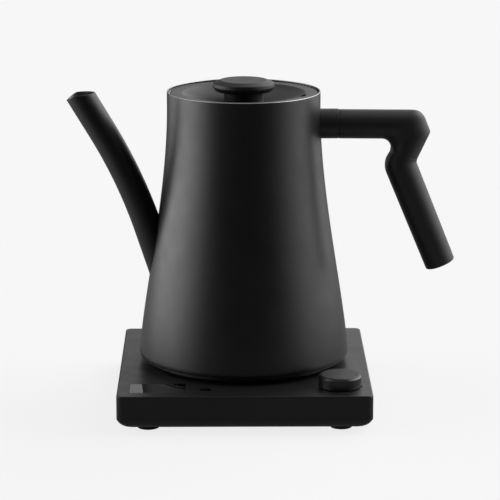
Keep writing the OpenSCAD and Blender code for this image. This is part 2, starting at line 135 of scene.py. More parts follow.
def lathe(name, outline, axis, segments=192, ribs=None):
    """Solid of revolution about a vertical axis. ribs is (count, depth, lowest z, highest z)."""
    verts, rings = [], []
    for r, z in outline:
        if r < POLE:
            rings.append([len(verts)])
            verts.append((axis.x, axis.y, z))
            continue
        rings.append(list(range(len(verts), len(verts) + segments)))
        for k in range(segments):
            a = math.tau * k / segments
            rk = r
            if ribs and ribs[2] <= z <= ribs[3]:
                rk = r - ribs[1] * (0.5 - 0.5 * math.cos(ribs[0] * a)) ** 2
            verts.append((axis.x + rk * math.cos(a), axis.y + rk * math.sin(a), z))
    return add_object(name, verts, join_rings(rings, True))


def rectangle_loop(width, depth, radius, centre, z, steps=8):
    """Points of a rounded rectangle at height z."""
    loop = []
    for quarter, (sx, sy) in enumerate([(1, 1), (-1, 1), (-1, -1), (1, -1)]):
        for k in range(steps + 1):
            a = math.radians(90 * (quarter + k / steps))
            loop.append((centre.x + sx * (width / 2 - radius) + radius * math.cos(a),
                         centre.y + sy * (depth / 2 - radius) + radius * math.sin(a), z))
    return loop


def loft(name, layers, centre):
    """Solid through rounded rectangles (width, depth, corner radius, z)."""
    verts, rings = [], []
    for width, depth, radius, z in layers:
        loop = rectangle_loop(width, depth, radius, centre, z)
        rings.append(list(range(len(verts), len(verts) + len(loop))))
        verts += loop
    faces = join_rings(rings, False)
    faces += [tuple(reversed(rings[0])), tuple(rings[-1])]
    return add_object(name, verts, faces)


def rod(name, a, b, radius, segments=64):
    """Plain round bar from a to b, used as a cutter."""
    a, b = Vector(a), Vector(b)
    turn = (b - a).to_track_quat("Z", "Y")
    verts = []
    for end in (a, b):
        for k in range(segments):
            t = math.tau * k / segments
            verts.append(end + turn @ Vector((radius * math.cos(t), radius * math.sin(t), 0)))
    rings = [list(range(segments)), list(range(segments, 2 * segments))]
    faces = join_rings(rings, False) + [tuple(reversed(rings[0])), tuple(rings[1])]
    return add_object(name, verts, faces)


def mend(obj):
    """Outward normals and no doubled points."""
    bm = bmesh.new()
    bm.from_mesh(obj.data)
    bmesh.ops.remove_doubles(bm, verts=bm.verts, dist=1e-7)
    bmesh.ops.recalc_face_normals(bm, faces=bm.faces)
    bm.to_mesh(obj.data)
    bm.free()


def cut(obj, *cutters):
    """Takes the cutters out of obj and removes them."""
    mend(obj)
    for cutter in cutters:
        mend(cutter)
        modifier = obj.modifiers.new("cut", "BOOLEAN")
        modifier.operation = "DIFFERENCE"
        modifier.solver = "EXACT"
        modifier.object = cutter
    bpy.context.view_layer.update()
    shaped = obj.evaluated_get(bpy.context.evaluated_depsgraph_get())
    mesh = bpy.data.meshes.new_from_object(shaped)
    obj.modifiers.clear()
    obj.data = mesh
    for cutter in cutters:
        bpy.data.objects.remove(cutter)


def place(obj, body, material, slot, *stands_for, crease=32):
    """Finishes a piece: shading, material, the body it rides on and the CAD nodes it stands for."""
    mend(obj)
    obj.data.shade_smooth()
    obj.data.set_sharp_from_angle(angle=math.radians(crease))
    weighted = obj.modifiers.new("even_shading", "WEIGHTED_NORMAL")
    weighted.keep_sharp = True
    obj.data.materials.clear()
    obj.data.materials.append(material)
    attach(obj, body)
    if stands_for:
        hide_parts(*stands_for)
    return obj


# ---------------------------------------------------------------- materials

def new_material(name):
    material = bpy.data.materials.new(name)
    material.use_nodes = True
    tree = material.node_tree
    tree.nodes.clear()
    output = tree.nodes.new("ShaderNodeOutputMaterial")
    shader = tree.nodes.new("ShaderNodeBsdfPrincipled")
    tree.links.new(shader.outputs["BSDF"], output.inputs["Surface"])
    return material, tree, shader


def noise(tree, scale, detail=3.0, stretch=(1, 1, 1), roughness=0.5):
    """Noise in the piece's own coordinates; scale is in features per metre."""
    where = tree.nodes.new("ShaderNodeTexCoord")
    mapping = tree.nodes.new("ShaderNodeMapping")
    mapping.inputs["Scale"].default_value = stretch
    texture = tree.nodes.new("ShaderNodeTexNoise")
    texture.inputs["Scale"].default_value = scale
    texture.inputs["Detail"].default_value = detail
    texture.inputs["Roughness"].default_value = roughness
    tree.links.new(where.outputs["Object"], mapping.inputs["Vector"])
    tree.links.new(mapping.outputs["Vector"], texture.inputs["Vector"])
    return texture.outputs["Fac"]


def spread(tree, value, low, high, low_in=0.3, high_in=0.7):
    """The value mapped from its usual range to low..high."""
    node = tree.nodes.new("ShaderNodeMapRange")
    node.inputs["From Min"].default_value = low_in
    node.inputs["From Max"].default_value = high_in
    node.inputs["To Min"].default_value = low
    node.inputs["To Max"].default_value = high
    tree.links.new(value, node.inputs["Value"])
    return node.outputs["Result"]


def blend_colours(tree, value, first, second):
    """A colour between two, by the value."""
    factor, colour_a, colour_b, colour_out = 0, 6, 7, 2  # sockets of a colour mix
    node = tree.nodes.new("ShaderNodeMix")
    node.data_type = "RGBA"
    node.inputs[colour_a].default_value = (*first, 1)
    node.inputs[colour_b].default_value = (*second, 1)
    tree.links.new(value, node.inputs[factor])
    return node.outputs[colour_out]


def bump(tree, shader, height, distance, strength=1.0):
    node = tree.nodes.new("ShaderNodeBump")
    node.inputs["Strength"].default_value = strength
    node.inputs["Distance"].default_value = distance
    tree.links.new(height, node.inputs["Height"])
    tree.links.new(node.outputs["Normal"], shader.inputs["Normal"])


def coated(name, dark, light, rough, grain, grain_depth, specular=0.5, metallic=0.0,
           stretch=(1, 1, 1)):
    """A finish with slow colour variation, uneven gloss and a fine grain."""
    material, tree, shader = new_material(name)
    shader.inputs["Metallic"].default_value = metallic
    shader.inputs["Specular IOR Level"].default_value = specular
    patches, blotches = 22, 90  # features per metre
    slow = noise(tree, patches, 2.0)
    tree.links.new(blend_colours(tree, spread(tree, slow, 0, 1), dark, light),
                   shader.inputs["Base Color"])
    uneven = noise(tree, blotches, 4.0)
    tree.links.new(spread(tree, uneven, rough[0], rough[1]), shader.inputs["Roughness"])
    bump(tree, shader, noise(tree, grain, 4.0, stretch), grain_depth)
    return material


def circuit_board():
    """Solder mask with paler tracks."""
    material, tree, shader = new_material("board_green")
    shader.inputs["Roughness"].default_value = 0.35
    where = tree.nodes.new("ShaderNodeTexCoord")
    tracks = tree.nodes.new("ShaderNodeTexBrick")
    tracks.inputs["Scale"].default_value = 190
    tracks.inputs["Mortar Size"].default_value = 0.03
    tracks.inputs["Color1"].default_value = (0.012, 0.11, 0.045, 1)
    tracks.inputs["Color2"].default_value = (0.015, 0.13, 0.055, 1)
    tracks.inputs["Mortar"].default_value = (0.05, 0.24, 0.1, 1)
    tree.links.new(where.outputs["Object"], tracks.inputs["Vector"])
    tree.links.new(tracks.outputs["Color"], shader.inputs["Base Color"])
    bump(tree, shader, noise(tree, 900), 0.00002)
    return material


def duller_inwards(material):
    """The lid's coat is rougher at the bottom of the dish than on the flange."""
    tree = material.node_tree
    shader = next(node for node in tree.nodes if node.type == "BSDF_PRINCIPLED")
    even = shader.inputs["Roughness"].links[0].from_socket
    away = tree.nodes.new("ShaderNodeVectorMath")
    away.operation = "DISTANCE"
    away.inputs[1].default_value = (kettle_axis.x, kettle_axis.y, flange_z)
    tree.links.new(tree.nodes.new("ShaderNodeTexCoord").outputs["Object"], away.inputs[0])
    dullest, inner_r, outer_r = 0.5, 16 * MM, 40 * MM
    extra = spread(tree, away.outputs["Value"], dullest, 0.0, inner_r, outer_r)
    total = tree.nodes.new("ShaderNodeMath")
    total.operation = "ADD"
    tree.links.new(even, total.inputs[0])
    tree.links.new(extra, total.inputs[1])
    tree.links.new(total.outputs[0], shader.inputs["Roughness"])


def make_materials():
    """The finishes by name. Those named after a slot of the record also dress the CAD nodes."""
    black = coated("powder_coat_black", (0.006, 0.006, 0.0062), (0.008, 0.008, 0.0083),
                   (0.36, 0.42), 2600, 0.00003, specular=0.5)
    base = coated("base_coat_black", (0.0115, 0.0115, 0.0117), (0.014, 0.014, 0.0143),
                  (0.34, 0.40), 2600, 0.00003, specular=0.32)
    plastic = coated("moulded_black", (0.0085, 0.0085, 0.0087), (0.011, 0.011, 0.0113),
                     (0.42, 0.5), 3400, 0.00004, specular=0.4)
    grip = coated("soft_touch_black", (0.02, 0.02, 0.0202), (0.023, 0.023, 0.0233),
                  (0.4, 0.47), 3800, 0.00004, specular=0.42)
    # painted shade: a darker, less glossy black for the tray's underside edge and the lid's vent
    # slot walls, where shade falls
    tray = coated("painted_shade_black", (0.003, 0.003, 0.0031), (0.004, 0.004, 0.0041),
                  (0.42, 0.48), 2600, 0.00003, specular=0.12)
    gloss = coated("dial_gloss_black", (0.008, 0.008, 0.0082), (0.011, 0.011, 0.0113),
                   (0.24, 0.3), 3000, 0.00001, specular=0.5)
    dished = coated("dished_coat_black", (0.006, 0.006, 0.0062), (0.008, 0.008, 0.0083),
                    (0.36, 0.42), 2600, 0.00003, specular=0.5)
    duller_inwards(dished)
    rubber = coated("rubber_black", (0.008, 0.008, 0.008), (0.012, 0.012, 0.012),
                    (0.65, 0.8), 2200, 0.00006, specular=0.3)
    window = coated("window_gloss", (0.002, 0.002, 0.0022), (0.003, 0.003, 0.0032),
                    (0.03, 0.05), 400, 0.000001, specular=0.5)
    steel = coated("brushed_steel", (0.5, 0.49, 0.48), (0.62, 0.61, 0.6), (0.24, 0.34), 900,
                   0.00002, metallic=1.0, stretch=(1, 1, 14))
    zinc = coated("zinc_screw", (0.42, 0.42, 0.43), (0.55, 0.55, 0.56), (0.28, 0.42), 1800,
                  0.00002, metallic=1.0)
    brass = coated("contact_brass", (0.6, 0.42, 0.18), (0.72, 0.54, 0.26), (0.22, 0.34), 1200,
                   0.00002, metallic=1.0)
    aluminium = coated("cast_aluminium", (0.45, 0.45, 0.46), (0.58, 0.58, 0.59), (0.4, 0.55),
                       1500, 0.00005, metallic=1.0)
    silicone = coated("grey_silicone", (0.2, 0.195, 0.185), (0.26, 0.255, 0.24), (0.5, 0.62), 1600,
                      0.00004, specular=0.4)
    pale = coated("pale_plastic", (0.55, 0.53, 0.46), (0.62, 0.6, 0.52), (0.38, 0.5), 2400,
                  0.00003)
    # painted highlight: a bright metal band for the kettle's rim that stands in for the bright line
    # along the rim
    edge = coated("painted_highlight_edge", (0.4, 0.395, 0.39), (0.5, 0.495, 0.49), (0.26, 0.34), 900, 0.00001,
                  metallic=1.0)
    # painted highlight: a dark metal band for the kettle's bottom hem that stands in for the bright
    # line along the lower edge
    painted_hem_highlight = coated("painted_highlight_hem", (0.11, 0.109, 0.108), (0.15, 0.149, 0.147), (0.24, 0.3), 900,
                  0.00001, metallic=1.0)
    inner = coated("inner_steel", (0.42, 0.415, 0.41), (0.46, 0.455, 0.45), (0.3, 0.36), 700,
                   0.000004, metallic=1.0, stretch=(1, 1, 14))
    bore = coated("bore_steel", (0.15, 0.148, 0.146), (0.18, 0.178, 0.175), (0.48, 0.54), 900,
                  0.000004, metallic=1.0)
    return {"painted_highlight_edge": edge, "painted_highlight_hem": painted_hem_highlight, "inner_steel": inner, "bore_steel": bore,
            "painted_shade_coat": tray, "dial_gloss": gloss, "dished_coat": dished,
            "black_coated_steel": black, "black_base_shell": base, "black_plastic": plastic,
            "soft_black_grip": grip, "black_rubber": rubber, "grey_silicone": silicone,
            "stainless": steel, "screw_steel": zinc, "contact_brass": brass,
            "circuit_board": circuit_board(), "pale_plastic": pale, "black_window": window,
            "plate_aluminium": aluminium}


materials = make_materials()


def dress(obj, body, slot, *stands_for, crease=32):
    """place() with the finish of the slot."""
    return place(obj, body, materials[slot], slot, *stands_for, crease=crease)


def refinish(obj, finish, picked):
    """Gives the faces whose vertices all pass the test another finish."""
    obj.data.materials.append(materials[finish])
    index = len(obj.data.materials) - 1
    for face in obj.data.polygons:
        if all(picked(obj.data.vertices[i]) for i in face.vertices):
            face.material_index = index


for entry in record["subparts"]:
    cad_mesh = nodes[entry["node"]].data
    cad_mesh.materials.clear()
    cad_mesh.materials.append(materials[entry["material_slot"]])


# ---------------------------------------------------------------- power base

BASE_CORNER, SEAM_EDGE = 4 * MM, 0.05 * MM
DIAL_WELL_R, SOCKET_HOLE_R, SHAFT_HOLE_R = 13.95 * MM, 17.4 * MM, 4.7 * MM
FEET = ["foot_front_left", "foot_front_right", "foot_rear_left", "foot_rear_right"]


def build_base_cover():
    top, seam = base_top, base_low.z
    edge = 0.9 * MM
    layers = [(base_w - 2 * SEAM_EDGE, base_d - 2 * SEAM_EDGE, BASE_CORNER - SEAM_EDGE, seam)]
    layers.append((base_w, base_d, BASE_CORNER, seam + SEAM_EDGE))
    steps = 5
    for k in range(steps + 1):
        a = math.radians(90 * k / steps)
        inset = edge * (1 - math.cos(a))
        layers.append((base_w - 2 * inset, base_d - 2 * inset, BASE_CORNER - inset,
                       top - edge + edge * math.sin(a)))
    cover = loft("cover_shell", layers, base_mid)
    wall = 2.5 * MM
    inner_w, inner_d = base_w - 2 * wall, base_d - 2 * wall
    hollow = loft("hollow", [(inner_w, inner_d, 2 * MM, seam - MM),
                             (inner_w, inner_d, 2 * MM, top - wall)], base_mid)
    socket = rod("socket_hole", (kettle_axis.x, kettle_axis.y, seam),
                 (kettle_axis.x, kettle_axis.y, top + MM), SOCKET_HOLE_R, 96)
    dial = centre_of("dial_ring")
    recess = rod("dial_recess", (dial.x, dial.y, top - 1.2 * MM), (dial.x, dial.y, top + MM),
                 DIAL_WELL_R, 96)
    shaft = rod("shaft_hole", (dial.x, dial.y, seam), (dial.x, dial.y, top), SHAFT_HOLE_R)
    cord = centre_of("cord_bush")
    outlet = rod("outlet", (cord.x, cord.y - 6 * MM, cord.z), (cord.x, cord.y + 8 * MM, cord.z),
                 5 * MM)
    cutters = [hollow, socket, recess, shaft, outlet]
    gap = 0.1 * MM
    for node, ledge in (("display_window", 2 * MM), ("status_lens", 0)):
        low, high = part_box(node)
        middle = (low + high) / 2
        size = high - low
        cutters.append(loft("pocket", [(size.x + 2 * gap, size.y + 2 * gap, 0.6 * MM, low.z),
                                       (size.x + 2 * gap, size.y + 2 * gap, 0.6 * MM, top + MM)],
                            middle))
        cutters.append(loft("opening", [(size.x - 2 * ledge, size.y - 2 * ledge, 0.5 * MM,
                                         seam + 9 * MM),
                                        (size.x - 2 * ledge, size.y - 2 * ledge, 0.5 * MM, top)],
                            middle))
    cut(cover, *cutters)
    dress(cover, "base", "black_base_shell", "base_cover", crease=28)


def build_base_tray():
    top, bottom = tray_high.z, tray_low.z
    steps = 10
    layers = []
    # the curve from the underside up to the side as (inset, z)
    hull = ((8 * MM, bottom), (2.6 * MM, bottom + 0.5 * MM), (0, top - MM))
    for k in range(steps + 1):
        t = k / steps
        inset, z = ((1 - t) ** 2 * hull[0][i] + 2 * t * (1 - t) * hull[1][i] + t * t * hull[2][i]
                    for i in (0, 1))
        layers.append((base_w - 2 * inset, base_d - 2 * inset, BASE_CORNER, z))
    layers.append((base_w, base_d, BASE_CORNER, top - SEAM_EDGE))
    layers.append((base_w - 2 * SEAM_EDGE, base_d - 2 * SEAM_EDGE, BASE_CORNER - SEAM_EDGE, top))
    tray = loft("tray_shell", layers, base_mid)
    hollow = loft("hollow", [(base_w - 20 * MM, base_d - 20 * MM, 2 * MM, bottom + 2.2 * MM),
                             (base_w - 8 * MM, base_d - 8 * MM, 2 * MM, top + MM)], base_mid)
    cutters = [hollow]
    for name in FEET:
        foot = centre_of(name)
        cutters.append(rod("foot_seat", (foot.x, foot.y, bottom - MM),
                           (foot.x, foot.y, bottom + MM), 7.1 * MM))
    screw_x, screw_front, screw_rear = 65 * MM, -36 * MM, 50 * MM
    for x in (-screw_x, screw_x):
        for y in (screw_front, screw_rear):
            spot = (base_mid.x + x, base_mid.y + y)
            cutters.append(rod("screw_well", (*spot, bottom - MM), (*spot, bottom + 3 * MM),
                               3.2 * MM))
    cut(tray, *cutters)
    dress(tray, "base", "black_base_shell", "base_tray", crease=28)
    # painted shade: the tray's faces below this height, under the base, get the darker
    # painted-shade black
    painted_shade_top = bottom + 1.3 * MM
    refinish(tray, "painted_shade_coat", lambda vertex: vertex.co.z < painted_shade_top)


def build_feet():
    for name in FEET:
        low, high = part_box(name)
        r = (high.x - low.x) / 2
        outline = rounded([(0, low.z + 0.25 * MM, 0), (r - 2 * MM, low.z + 0.25 * MM, 0.3 * MM),
                           (r - 1.5 * MM, low.z, 0.25 * MM), (r - 0.1 * MM, low.z, 0.5 * MM),
                           (r, high.z, 0.2 * MM), (0, high.z, 0)])
        dress(lathe(name + "_pad", outline, (low + high) / 2, 96), "base", "black_rubber", name)


def build_windows():
    for node in ("display_window", "status_lens"):
        low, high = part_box(node)
        size = high - low
        edge = 0.15 * MM
        layers = [(size.x, size.y, 0.5 * MM, low.z), (size.x, size.y, 0.5 * MM, high.z - edge),
                  (size.x - 0.6 * edge, size.y - 0.6 * edge, 0.5 * MM, high.z - 0.3 * edge),
                  (size.x - 2 * edge, size.y - 2 * edge, 0.4 * MM, high.z)]
        dress(loft(node + "_glass", layers, (low + high) / 2), "base", "black_window", node)


def build_cord_bush():
    low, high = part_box("cord_bush")
    centre = (low + high) / 2
    depth = high.y - low.y
    bore, neck, collar, neck_len = 3.6 * MM, 4.95 * MM, 5.8 * MM, 2.55 * MM
    outline = rounded([(bore, 0, 0.3 * MM), (neck, 0, 0.3 * MM), (neck, neck_len, 0),
                       (collar, neck_len, 0.2 * MM), (collar, depth, 0.4 * MM),
                       (bore, depth, 0.3 * MM)])
    bush = lathe("cord_bush_ring", outline, Vector((0, 0, 0)), 64)
    bush.data.transform(Matrix.Translation((centre.x, high.y, centre.z))
                        @ Matrix.Rotation(math.radians(90), 4, "X"))
    dress(bush, "base", "black_rubber", "cord_bush")


def build_dial():
    low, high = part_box("dial_ring")
    axis = (low + high) / 2
    r = (high.x - low.x) / 2
    foot, rim = low.z, high.z
    rib_low, rib_high = foot + 0.9 * MM, rim - 1.1 * MM
    outline = [(r - 0.35 * MM, foot), (r - 0.06 * MM, foot + 0.3 * MM), (r, foot + 0.7 * MM)]
    bands = 6
    outline += [(r, rib_low + (rib_high - rib_low) * k / bands) for k in range(bands + 1)]
    outline += rounded([(r, rim - 0.95 * MM, 0), (r, rim - 0.8 * MM, 0.1 * MM),
                        (r - 0.7 * MM, rim, 0.15 * MM), (r - 0.9 * MM, rim, 0)], closed=False)
    outline += [(r - 0.95 * MM, rim - 0.9 * MM), (r - 4 * MM, rim - 0.9 * MM),
                (r - 4 * MM, foot + 5.4 * MM), (r - 1.9 * MM, foot + 5.4 * MM),
                (r - 1.9 * MM, foot)]
    rib_count, points_per_rib = 72, 8
    ribs = (rib_count, 0.07 * MM, rib_low + 0.05 * MM, rib_high - 0.05 * MM)
    ring = lathe("dial_ring_ribbed", outline, axis, rib_count * points_per_rib, ribs)
    place(ring, "dial", materials["dial_gloss"], "black_plastic", "dial_ring", crease=40)
    low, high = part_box("dial_cap")
    r = (high.x - low.x) / 2
    outline = rounded([(0, low.z, 0), (r, low.z, 0.1 * MM), (r, high.z - 0.5 * MM, 0.12 * MM),
                       (r - 0.6 * MM, high.z, 0.15 * MM), (0, high.z - 0.12 * MM, 0)])
    dress(lathe("dial_cap_disc", outline, axis, 160), "dial", "black_plastic", "dial_cap")


# ---------------------------------------------------------------- kettle body

NECK_R, BELLY_R, WALL = 49.2 * MM, 67.8 * MM, 0.8 * MM
SHOULDER_H, BELLY_H = 165 * MM, 8 * MM


def flank(steps=72):
    """Outer wall from the shoulder down to the belly as (radius, height above the base top)."""
    ends = ((NECK_R, SHOULDER_H), (NECK_R + 0.3 * MM, 110 * MM),
            (BELLY_R - 2.8 * MM, 45 * MM), (BELLY_R, BELLY_H))
    points = []
    for i in range(steps + 1):
        t = i / steps
        weights = ((1 - t) ** 3, 3 * (1 - t) ** 2 * t, 3 * (1 - t) * t * t, t ** 3)
        points.append(tuple(sum(w * p[k] for w, p in zip(weights, ends)) for k in (0, 1)))
    return points


FLANK = flank()


def body_radius(h):
    """Outer radius of the body at height h above the base top."""
    if h >= SHOULDER_H:
        return NECK_R
    for (r0, h0), (r1, h1) in zip(FLANK, FLANK[1:]):
        if h1 <= h <= h0:
            return r0 + (r1 - r0) * (h0 - h) / (h0 - h1)
    return BELLY_R


def on_kettle(x, y, h):
    """A point given from the kettle axis and the base top."""
    return Vector((kettle_axis.x + x, kettle_axis.y + y, base_top + h))


def build_shell():
    rim_h = rim_z - base_top
    bottom = shell_low.z - base_top
    belly = [(BELLY_R + 0.1 * MM, BELLY_H - 1.2 * MM), (BELLY_R, BELLY_H - 2.2 * MM),
             (BELLY_R - 0.3 * MM, BELLY_H - 3.1 * MM)]
    hem = 0.4 * MM
    hem_c = (BELLY_R - 0.95 * MM, bottom + hem)
    bead = [(hem_c[0] + hem * math.cos(math.radians(a)),
             hem_c[1] + hem * math.sin(math.radians(a))) for a in range(20, -181, -20)]
    outer = rounded([(NECK_R - WALL, rim_h - MM, 0), (NECK_R - WALL, rim_h, 0.3 * MM),
                     (NECK_R, rim_h, 0.36 * MM), (NECK_R, rim_h - MM, 0)], closed=False)
    outline = outer + FLANK + belly + bead
    outline += [(r - WALL, h) for r, h in reversed(FLANK)]
    shell = lathe("body_shell", [(r, base_top + h) for r, h in outline], kettle_axis, 256)
    start, lean = spout_point(-6 * MM)[0], math.radians(SPOUT_LEAN)
    far = start + 62 * MM * Vector((-math.sin(lean), 0, math.cos(lean)))
    cut(shell, rod("spout_hole", start, far, SPOUT_R - WALL - 0.05 * MM, 72))
    dress(shell, "kettle", "black_coated_steel", "kettle_shell", crease=38)
    rim_edge, hem_edge = rim_z - 0.32 * MM, shell_low.z + hem * 1.2
    # painted highlight: the rim's top gets a metal finish that stands in for the bright line along
    # the rim
    refinish(shell, "painted_highlight_edge", lambda vertex: vertex.co.z > rim_edge)
    # painted highlight: the bottom hem gets a metal finish that stands in for the bright line along
    # the lower edge
    refinish(shell, "painted_highlight_hem", lambda vertex: vertex.co.z < hem_edge)

    def inner_wall(vertex):
        p = vertex.co
        from_axis = math.hypot(p.x - kettle_axis.x, p.y - kettle_axis.y)
        return (shell_low.z + 2 * MM < p.z < rim_z - 0.5 * MM
                and from_axis < body_radius(p.z - base_top) - WALL / 2)

    refinish(shell, "inner_steel", inner_wall)


def build_bottom_cover():
    low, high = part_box("bottom_cover")
    top = high.z
    hole_r, skirt_r, flange_r, inner_r = 19.3 * MM, 62.2 * MM, 65.7 * MM, 60.5 * MM
    floor_z, ledge_z = low.z + 2.2 * MM, low.z + 4.2 * MM
    outline = rounded([(hole_r, low.z, 0.2 * MM), (skirt_r - 0.8 * MM, low.z, 0.8 * MM),
                       (skirt_r, low.z + 1.2 * MM, 0.4 * MM), (skirt_r, ledge_z, 0.2 * MM),
                       (flange_r, ledge_z, 0), (flange_r, top, 0), (inner_r, top, 0),
                       (inner_r, floor_z, 0), (hole_r, floor_z, 0)])
    cover = lathe("bottom_cover_plate", outline, kettle_axis, 192)
    wells = []
    screw_circle = 55 * MM
    for angle in (30, 150, 270):
        a = math.radians(angle)
        x = kettle_axis.x + screw_circle * math.cos(a)
        y = kettle_axis.y + screw_circle * math.sin(a)
        wells.append(rod("well", (x, y, low.z - MM), (x, y, low.z + 1.2 * MM), 2.9 * MM))
        wells.append(rod("well", (x, y, low.z), (x, y, low.z + 4 * MM), 1.5 * MM))
    cut(cover, *wells)
    dress(cover, "kettle", "black_plastic", "bottom_cover")


# ---------------------------------------------------------------- spout

SPOUT_R = 9.1 * MM
SPOUT_LEAN, SPOUT_TIP_LEAN = 18.3, 31.0
SPOUT_BEND_R = 320 * MM
SPOUT_ROOT = (-49.36 * MM, 50 * MM)
SPOUT_STRAIGHT = 40 * MM
SPOUT_TOP = 27.3 * MM
MOUTH_TILT, LIP_TILT, LIP_LEN = 5.0, 35.0, 6.8 * MM


def spout_point(s):
    """Centre of the spout at distance s along it, and its lean there in radians."""
    lean0, lean1 = math.radians(SPOUT_LEAN), math.radians(SPOUT_TIP_LEAN)
    bend_len = SPOUT_BEND_R * (lean1 - lean0)
    run = min(s, SPOUT_STRAIGHT)
    x = SPOUT_ROOT[0] - run * math.sin(lean0)
    h = SPOUT_ROOT[1] + run * math.cos(lean0)
    lean = lean0
    if s > SPOUT_STRAIGHT:
        lean = lean0 + min(s - SPOUT_STRAIGHT, bend_len) / SPOUT_BEND_R
        x += SPOUT_BEND_R * (math.cos(lean) - math.cos(lean0))
        h += SPOUT_BEND_R * (math.sin(lean) - math.sin(lean0))
        run = max(0, s - SPOUT_STRAIGHT - bend_len)
        x -= run * math.sin(lean)
        h += run * math.cos(lean)
    return on_kettle(x, 0, h), lean


def spout_surface(s, angle, radius):
    """A point on a tube of this radius around the spout's centre line."""
    centre, lean = spout_point(s)
    side = Vector((-math.cos(lean), 0, -math.sin(lean)))
    return centre + radius * (math.cos(angle) * side + math.sin(angle) * Vector((0, 1, 0)))


def find_along(s0, s1, test):
    """Distance between s0 and s1 where test turns from false to true."""
    halvings = 40
    for _ in range(halvings):
        middle = (s0 + s1) / 2
        if test(middle):
            s1 = middle
        else:
            s0 = middle
    return s1


def build_spout():
    bend_len = SPOUT_BEND_R * math.radians(SPOUT_TIP_LEAN - SPOUT_LEAN)
    tip_s = SPOUT_STRAIGHT + bend_len + SPOUT_TOP
    lip = spout_surface(tip_s, 0, SPOUT_R)
    lip_tilt = math.radians(LIP_TILT)
    edge = lip + LIP_LEN * Vector((math.cos(lip_tilt), 0, math.sin(lip_tilt)))
    slopes = [math.tan(math.radians(t)) for t in (MOUTH_TILT, LIP_TILT)]

    def past_mouth(point):
        planes = [edge.z + (point.x - edge.x) * slope for slope in slopes]
        crest = 0.35 * MM
        level = -crest * math.log(sum(math.exp(-p / crest) for p in planes))
        return point.z >= level

    def outside_body(point, sink):
        reach = math.hypot(point.x - kettle_axis.x, point.y - kettle_axis.y)
        return reach >= body_radius(point.z - base_top) - sink

    segments, steps = 96, 64
    lip_round = 0.16 * MM
    bore = SPOUT_R - WALL
    walls = []
    for radius in (SPOUT_R, bore):
        spans = []
        for k in range(segments):
            angle = math.tau * k / segments
            root = find_along(0, 70 * MM, lambda s: outside_body(
                spout_surface(s, angle, radius), 0.4 * MM))
            mouth = find_along(90 * MM, tip_s + 20 * MM, lambda s: past_mouth(
                spout_surface(s, angle, radius)))
            spans.append((root, mouth))
        walls.append((radius, spans))
    verts, rings = [], []

    def add_ring(radius, spans, share, back):
        rings.append(list(range(len(verts), len(verts) + segments)))
        for k, (root, mouth) in enumerate(spans):
            s = root + (mouth - back - root) * share
            verts.append(spout_surface(s, math.tau * k / segments, radius))

    (outer_r, outer), (inner_r, inner) = walls
    for i in range(steps + 1):
        add_ring(outer_r, outer, i / steps, lip_round)
    add_ring(outer_r - 0.3 * lip_round, outer, 1, 0.3 * lip_round)
    add_ring(outer_r - lip_round, outer, 1, 0)
    add_ring(inner_r + lip_round, inner, 1, 0)
    for i in range(steps, -1, -1):
        add_ring(inner_r, inner, i / steps, lip_round)
    spout = add_object("spout_pipe", verts, join_rings(rings, True))
    dress(spout, "kettle", "black_coated_steel", "spout_tube", crease=40)
    inside = len(rings) - 2 - steps
    lining = {i for ring in rings[inside:] for i in ring}
    refinish(spout, "bore_steel", lambda vertex: vertex.index in lining)


# ---------------------------------------------------------------- handle

ARM_START = 61 * MM
ARM_H, ARM_DROP = 155.4 * MM, 0.25 * MM
CORE_HOLE_R = 5.1 * MM


def build_bracket():
    radius, height = 9.6 * MM, ARM_H + 0.2 * MM
    end, gasket_r = ARM_START - 0.6 * MM, 9.42 * MM
    segments = 96
    rows = [[] for _ in range(6)]
    for k in range(segments):
        a = math.tau * k / segments
        y, z = math.cos(a), math.sin(a)
        reach = math.sqrt((body_radius(height + radius * z) - 0.3 * MM) ** 2 - (radius * y) ** 2)
        rows[0].append(on_kettle(reach, radius * y, height + radius * z))
        rows[1].append(on_kettle(end - 0.3 * MM, radius * y, height + radius * z))
        rows[2].append(on_kettle(end - 0.08 * MM, (radius - 0.1 * MM) * y,
                                 height + (radius - 0.1 * MM) * z))
        rows[3].append(on_kettle(end, (radius - 0.3 * MM) * y, height + (radius - 0.3 * MM) * z))
        reach = math.sqrt((body_radius(height + CORE_HOLE_R * z) - 0.3 * MM) ** 2
                          - (CORE_HOLE_R * y) ** 2)
        rows[4].append(on_kettle(end, CORE_HOLE_R * y, height + CORE_HOLE_R * z))
        rows[5].append(on_kettle(reach, CORE_HOLE_R * y, height + CORE_HOLE_R * z))
    verts = [v for row in rows for v in row]
    rings = [list(range(i * segments, (i + 1) * segments)) for i in range(len(rows))]
    stub = add_object("handle_stub", verts, join_rings(rings, True))
    place(stub, "kettle", materials["soft_black_grip"], "black_coated_steel", "handle_bracket",
          crease=38)
    gasket_t = 0.56 * MM
    outline = rounded([(CORE_HOLE_R, 0, 0), (gasket_r, 0, 0.1 * MM),
                       (gasket_r, gasket_t, 0.1 * MM), (CORE_HOLE_R, gasket_t, 0)])
    ring = lathe("handle_seam_ring", outline, Vector((0, 0, 0)), 96)
    ring.data.transform(Matrix.Translation(on_kettle(ARM_START - 0.58 * MM, 0, height))
                        @ Matrix.Rotation(math.radians(90), 4, "Y"))
    place(ring, "kettle", materials["soft_black_grip"], "black_plastic", "handle_gasket")


def arc(centre, radius, start, end, steps=14):
    """Points of an arc between two angles in degrees."""
    return [(centre[0] + radius * math.cos(math.radians(start + (end - start) * k / steps)),
             centre[1] + radius * math.sin(math.radians(start + (end - start) * k / steps)))
            for k in range(steps + 1)]


